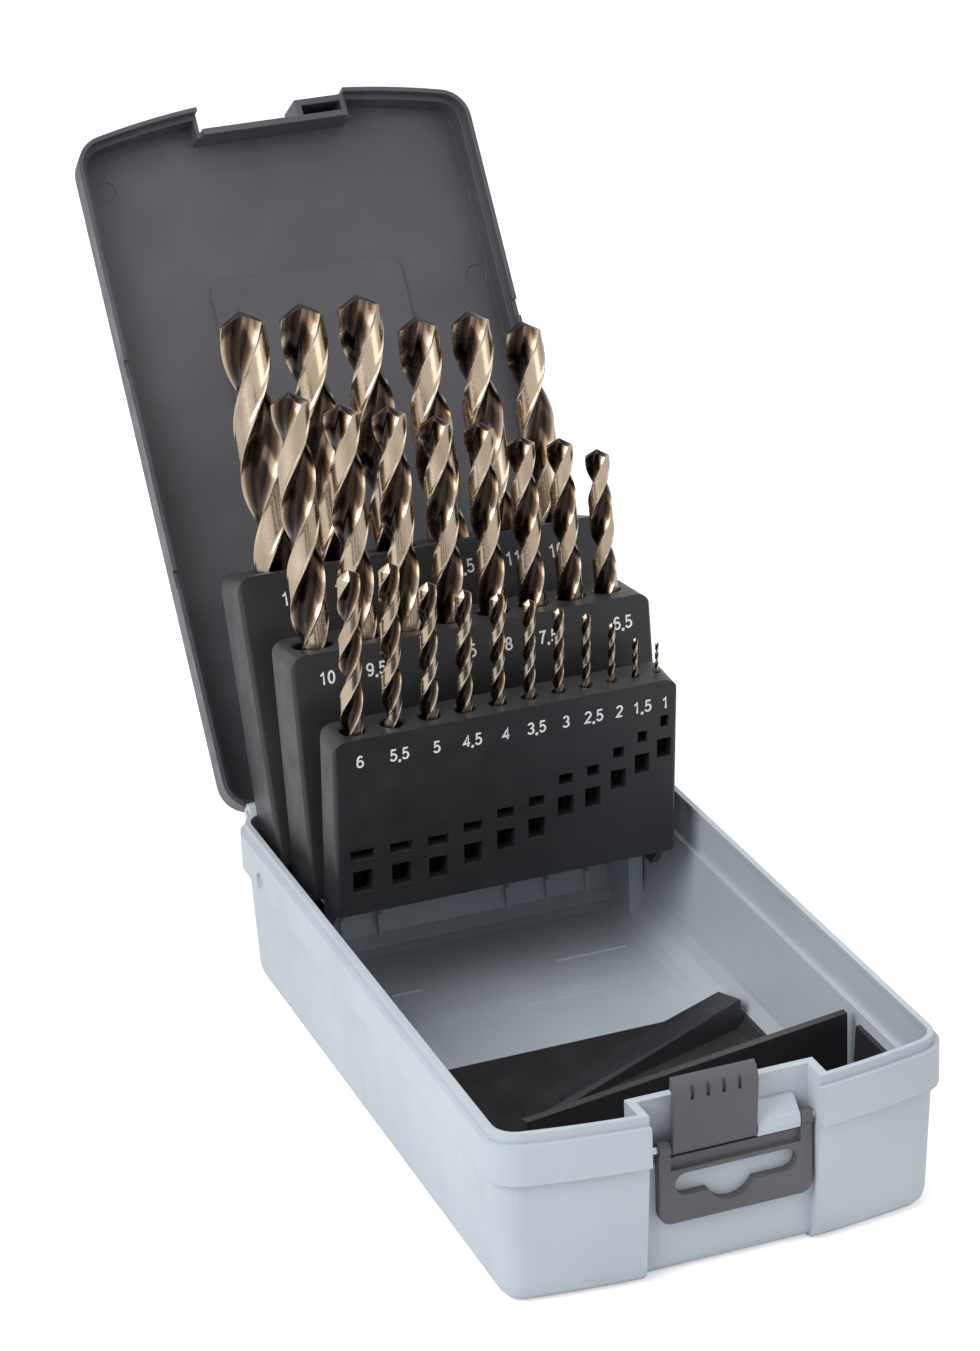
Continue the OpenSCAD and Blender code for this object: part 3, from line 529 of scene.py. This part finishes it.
def arc(cx, cy, rx, ry, start, stop, n=14):
    """Points on an ellipse between two angles in degrees, counted anticlockwise."""
    t = np.radians(np.linspace(start, stop, n))
    return np.column_stack([cx + rx * np.cos(t), cy + ry * np.sin(t)])


def join(*parts):
    """One stroke from several runs of points, without doubled points where two runs meet."""
    line = np.vstack([np.atleast_2d(part) for part in parts])
    apart = np.linalg.norm(np.diff(line, axis=0), axis=1) > 1e-3
    return line[np.append(True, apart)]


FIGURES = {
    "0": [arc(0.27, 0.5, 0.22, 0.45, 90, 450, 30)],
    "1": [join([0.10, 0.72], [0.24, 0.80], [0.33, 0.95], [0.33, 0.0])],
    "2": [join(arc(0.27, 0.70, 0.22, 0.25, 165, -28), [0.06, 0.05], [0.51, 0.05])],
    "3": [join(arc(0.26, 0.725, 0.2, 0.225, 160, -90), arc(0.26, 0.275, 0.23, 0.225, 90, -160))],
    "4": [join([0.40, 0.0], [0.40, 0.95], [0.04, 0.27], [0.54, 0.27])],
    "5": [join([0.47, 0.95], [0.13, 0.95], [0.08, 0.50], arc(0.26, 0.33, 0.235, 0.28, 125, -155))],
    "6": [join(arc(0.28, 0.70, 0.2, 0.25, 35, 90, 6), arc(0.28, 0.45, 0.225, 0.5, 90, 180, 8),
               arc(0.28, 0.31, 0.225, 0.26, 180, 520, 26))],
    "7": [join([0.05, 0.95], [0.50, 0.95], [0.33, 0.60], [0.20, 0.0])],
    "8": [arc(0.27, 0.73, 0.19, 0.22, -90, 270, 22), arc(0.27, 0.275, 0.23, 0.235, 90, 450, 24)],
    "9": [join(arc(0.26, 0.30, 0.2, 0.25, -145, -90, 6), arc(0.26, 0.55, 0.225, 0.5, -90, 0, 8),
               arc(0.26, 0.69, 0.225, 0.26, 0, 340, 26))],
    ",": [join([0.10, 0.06], [0.10, -0.04], [0.05, -0.16])],
}
print("figures:", " ".join(FIGURES))

# %% Strokes to meshes
INK = 0.06
SHARPEST_MITRE = 0.45


def ribbon(line, half):
    """Left and right edges of a line: each point moved sideways, by half, along the mitred normal.

    The mitred normal is the sum of the two neighbouring normals over half its own square, so the
    ribbon keeps its width round a bend. A limit stops the mitre at a sharp corner.
    """
    step = np.diff(line, axis=0)
    step = step / np.linalg.norm(step, axis=1)[:, None]
    side = np.column_stack([-step[:, 1], step[:, 0]])
    before, after = np.vstack([side[:1], side]), np.vstack([side, side[-1:]])
    both = before + after
    mitre = both / np.maximum(np.sum(both * both, axis=1) / 2, SHARPEST_MITRE)[:, None]
    return line + mitre * half, line - mitre * half


def stroke_solid(line, half, thickness):
    """A box section carried along a line: points (n * 4, 3) and faces, with both ends closed."""
    left, right = ribbon(line, half)
    edges = np.stack([left, right, right, left], axis=1)
    depth = np.array([-1, -1, 1, 1]) * thickness / 2
    depth = np.broadcast_to(depth[None, :, None], (len(line), 4, 1))
    points = np.concatenate([edges, depth], axis=2).reshape(-1, 3)
    low = 4 * np.arange(len(line) - 1)[:, None]
    j = np.arange(4)[None, :]
    k = (j + 1) % 4
    sides = np.stack([low + j, low + k, low + 4 + k, low + 4 + j], axis=-1).reshape(-1, 4)
    last = 4 * (len(line) - 1)
    ends = np.array([[3, 2, 1, 0], [last, last + 1, last + 2, last + 3]])
    return points, np.vstack([sides, ends])


def merged(solids):
    """One array of points and one of faces from several: each solid's faces count on."""
    points = np.vstack([solid[0] for solid in solids])
    starts = np.cumsum([0] + [len(solid[0]) for solid in solids[:-1]])
    return points, np.vstack([solid[1] + start for solid, start in zip(solids, starts)])


def number_solid(text, height):
    """A number's strokes as points and faces in mm, centred on their box: x along, y up, z out."""
    solids, pen = [], 0.0
    for sign in text:
        comma = sign == ","
        for line in FIGURES[sign]:
            half = STROKE / 2 * (COMMA_WIDER if comma else 1.0)
            solids.append(stroke_solid(line + [pen, 0.0], half, INK / height))
        pen += COMMA_ADVANCE if comma else ADVANCE
    points, faces = merged(solids)
    points = points * height
    points[:, 0] -= (points[:, 0].min() + points[:, 0].max()) / 2
    points[:, 1] -= height / 2
    return points, faces


# %% [markdown]
# ## Numbers on the holders
# The numbers' height and distance from the edge differ a little from row to row, and in the
# middle and rear rows they stand slightly aside of their bores. The numbers of a row are one
# piece, because one print puts them on.

# %% Print the numbers
NUMBER_H = {"front": 3.4, "middle": 3.5, "rear": 3.7}
BELOW_TOP = {"front": 6.6, "middle": 7.0, "rear": 7.4}
ASIDE = {"front": 0.0, "middle": 0.6, "rear": -0.9}


def row_numbers(row):
    """The size of each drill as a number on the holder's front, all in one piece."""
    solids = []
    level = row.foot + row.height - BELOW_TOP[row.name]
    for d, x in zip(row.sizes, row.x):
        points, faces = number_solid(f"{d:g}".replace(".", ","), NUMBER_H[row.name])
        across = x + ASIDE[row.name] + points[:, 0]
        ahead = row.front + INK / 2 + points[:, 2]
        local = np.stack([across, ahead, level + points[:, 1]], axis=-1)
        solids.append((row.to_world(local), faces))
    points, faces = merged(solids)
    piece = mesh_piece(f"{row.name}_numbers", points, faces.tolist())
    piece.data.materials.append(number_ink)
    return piece


for row in rows:
    numbers = row_numbers(row)
    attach(numbers, row.body)
    print(numbers.name, "has", len(numbers.data.polygons), "faces")

# %% [markdown]
# ## Studio
# The photograph is a product shot on white. A large soft lamp from the upper left is the key, a
# weaker one on the right fills, and a pale world lights the rest. The floor keeps the case's
# soft shadow; only what the camera, mirrors and glass see of the world is pure white. More
# light could whiten the background too, but it would bleach the case with it.

# %% Floor
FLOOR_SIZE = 8.0
FLOOR_GLOW = 0.42


def math_node(nodes, links, operation, first, second):
    """One operation on two sockets, or on a socket and a plain number."""
    node = nodes.new("ShaderNodeMath")
    node.operation = operation
    links.new(first, node.inputs[0])
    if isinstance(second, float):
        node.inputs[1].default_value = second
    else:
        links.new(second, node.inputs[1])
    return node.outputs["Value"]


def floor_paper(name):
    """Matt white paper that glows a little for the camera only, so that it comes out white."""
    mat, nodes, links, shader, place = new_material(name)
    whites = ramp(nodes, links, noise(nodes, links, place, 3.0),
                  [(NOISE_LOW, (0.86, 0.86, 0.865)), (NOISE_HIGH, (0.88, 0.88, 0.885))])
    links.new(whites, shader.inputs["Base Color"])
    shader.inputs["Roughness"].default_value = 0.8
    rays = nodes.new("ShaderNodeLightPath")
    glow = math_node(nodes, links, "MULTIPLY", rays.outputs["Is Camera Ray"], FLOOR_GLOW)
    shader.inputs["Emission Color"].default_value = (1.0, 1.0, 1.0, 1.0)
    links.new(glow, shader.inputs["Emission Strength"])
    return mat


corners = np.array([[-1, -1, 0], [1, -1, 0], [1, 1, 0], [-1, 1, 0]]) * FLOOR_SIZE / 2
floor = mesh_piece("studio_floor", corners, [(0, 1, 2, 3)])
floor.data.materials.append(floor_paper("floor_paper"))
print("floor is", FLOOR_SIZE, "m square")

# %% World
SKY_COLOUR, SKY_STRENGTH = (0.93, 0.96, 1.0), 0.48


def background(nodes, colour, strength):
    """A world background of one colour and strength."""
    node = nodes.new("ShaderNodeBackground")
    node.inputs["Color"].default_value = (*colour, 1.0)
    node.inputs["Strength"].default_value = strength
    return node.outputs["Background"]


def studio_world(name):
    """Pale light for the object, and pure white for any ray that looks straight at the world."""
    world = bpy.data.worlds.new(name)
    world.use_nodes = True
    nodes, links = world.node_tree.nodes, world.node_tree.links
    nodes.clear()
    rays = nodes.new("ShaderNodeLightPath").outputs
    straight = math_node(nodes, links, "MAXIMUM", rays["Is Camera Ray"], rays["Is Transmission Ray"])
    looking = math_node(nodes, links, "MAXIMUM", straight, rays["Is Glossy Ray"])
    mix = nodes.new("ShaderNodeMixShader")
    links.new(looking, mix.inputs["Fac"])
    links.new(background(nodes, SKY_COLOUR, SKY_STRENGTH), mix.inputs[1])
    links.new(background(nodes, (1.0, 1.0, 1.0), 1.0), mix.inputs[2])
    out = nodes.new("ShaderNodeOutputWorld")
    links.new(mix.outputs["Shader"], out.inputs["Surface"])
    return world


bpy.context.scene.world = studio_world("studio_world")
print("world light", SKY_STRENGTH)

# %% [markdown]
# ## Lamps
# Large square lamps close to the case give wide soft highlights on the lid and the drills, as
# softboxes do. A sun lamp would be simpler, but its shadows have hard edges.

# %% Lamps
CASE_MIDDLE = Vector((0.0, 0.0, 0.08))
LAMP_SIZE = 0.9
LAMPS = {
    "key_left": ((-1.1, -0.5, 1.0), 16.5),
    "fill_right": ((1.2, -0.9, 0.7), 4.5),
    "top": ((0.0, 0.2, 1.5), 7.0),
}


def soft_lamp(name, place, power):
    """A square area lamp at a place in metres, turned so that its -Z looks at the case."""
    data = bpy.data.lights.new(name, "AREA")
    data.shape = "SQUARE"
    data.size = LAMP_SIZE
    data.energy = power
    lamp = bpy.data.objects.new(name, data)
    bpy.context.scene.collection.objects.link(lamp)
    aim = (CASE_MIDDLE - Vector(place)).to_track_quat("-Z", "Y")
    lamp.matrix_world = Matrix.Translation(Vector(place)) @ aim.to_matrix().to_4x4()


for name, (place, power) in LAMPS.items():
    soft_lamp(name, place, power)
bpy.context.scene.view_settings.view_transform = "Standard"
print("lamps:", ", ".join(LAMPS))
